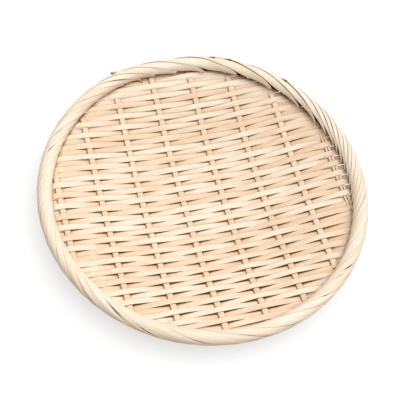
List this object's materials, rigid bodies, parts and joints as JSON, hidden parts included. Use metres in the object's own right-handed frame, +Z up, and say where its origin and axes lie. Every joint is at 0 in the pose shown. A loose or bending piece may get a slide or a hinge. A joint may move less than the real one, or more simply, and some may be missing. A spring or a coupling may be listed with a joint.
{
  "type": "zaru bamboo basket",
  "caption": "Shallow round bamboo tray basket in plain weave, its strip ends wound slantwise round a hoop to form a rope-like rim.",
  "frame": {"origin": "middle of the underside, on the surface that the tray stands on", "axes": "+Z up out of the bowl, X along the wefts, Y along the warps"},
  "size_m": [0.2402, 0.2406, 0.0255],
  "materials": {
    "bamboo_warp": "bare split bamboo, satin",
    "bamboo_weft": "bare split bamboo, satin, each strip a slightly different pale tan",
    "bamboo_hoop": "bare split bamboo, satin"
  },
  "bodies": {
    "root": {"rim_hoop": "bamboo_hoop", "warp_01": "bamboo_warp", "warp_02": "bamboo_warp", "warp_03": "bamboo_warp", "warp_04": "bamboo_warp", "warp_05": "bamboo_warp", "warp_06": "bamboo_warp", "warp_07": "bamboo_warp", "warp_08": "bamboo_warp", "weft_01": "bamboo_weft", "weft_02": "bamboo_weft", "weft_03": "bamboo_weft", "weft_04": "bamboo_weft", "weft_05": "bamboo_weft", "weft_06": "bamboo_weft", "weft_07": "bamboo_weft", "weft_08": "bamboo_weft", "weft_09": "bamboo_weft", "weft_10": "bamboo_weft", "weft_11": "bamboo_weft", "weft_12": "bamboo_weft", "weft_13": "bamboo_weft", "weft_14": "bamboo_weft", "weft_15": "bamboo_weft", "weft_16": "bamboo_weft", "weft_17": "bamboo_weft", "weft_18": "bamboo_weft", "weft_19": "bamboo_weft", "weft_20": "bamboo_weft", "weft_21": "bamboo_weft", "weft_22": "bamboo_weft", "weft_23": "bamboo_weft", "weft_24": "bamboo_weft", "weft_25": "bamboo_weft", "weft_26": "bamboo_weft", "weft_27": "bamboo_weft", "weft_28": "bamboo_weft", "weft_29": "bamboo_weft", "weft_30": "bamboo_weft", "weft_31": "bamboo_weft", "weft_32": "bamboo_weft", "weft_33": "bamboo_weft", "weft_34": "bamboo_weft", "weft_35": "bamboo_weft", "weft_36": "bamboo_weft", "weft_37": "bamboo_weft", "weft_38": "bamboo_weft", "weft_39": "bamboo_weft", "weft_40": "bamboo_weft", "weft_41": "bamboo_weft", "weft_42": "bamboo_weft", "weft_43": "bamboo_weft", "weft_44": "bamboo_weft", "weft_45": "bamboo_weft", "weft_46": "bamboo_weft", "weft_47": "bamboo_weft", "weft_48": "bamboo_weft", "weft_49": "bamboo_weft", "weft_50": "bamboo_weft", "weft_51": "bamboo_weft"}
  },
  "joints": []
}
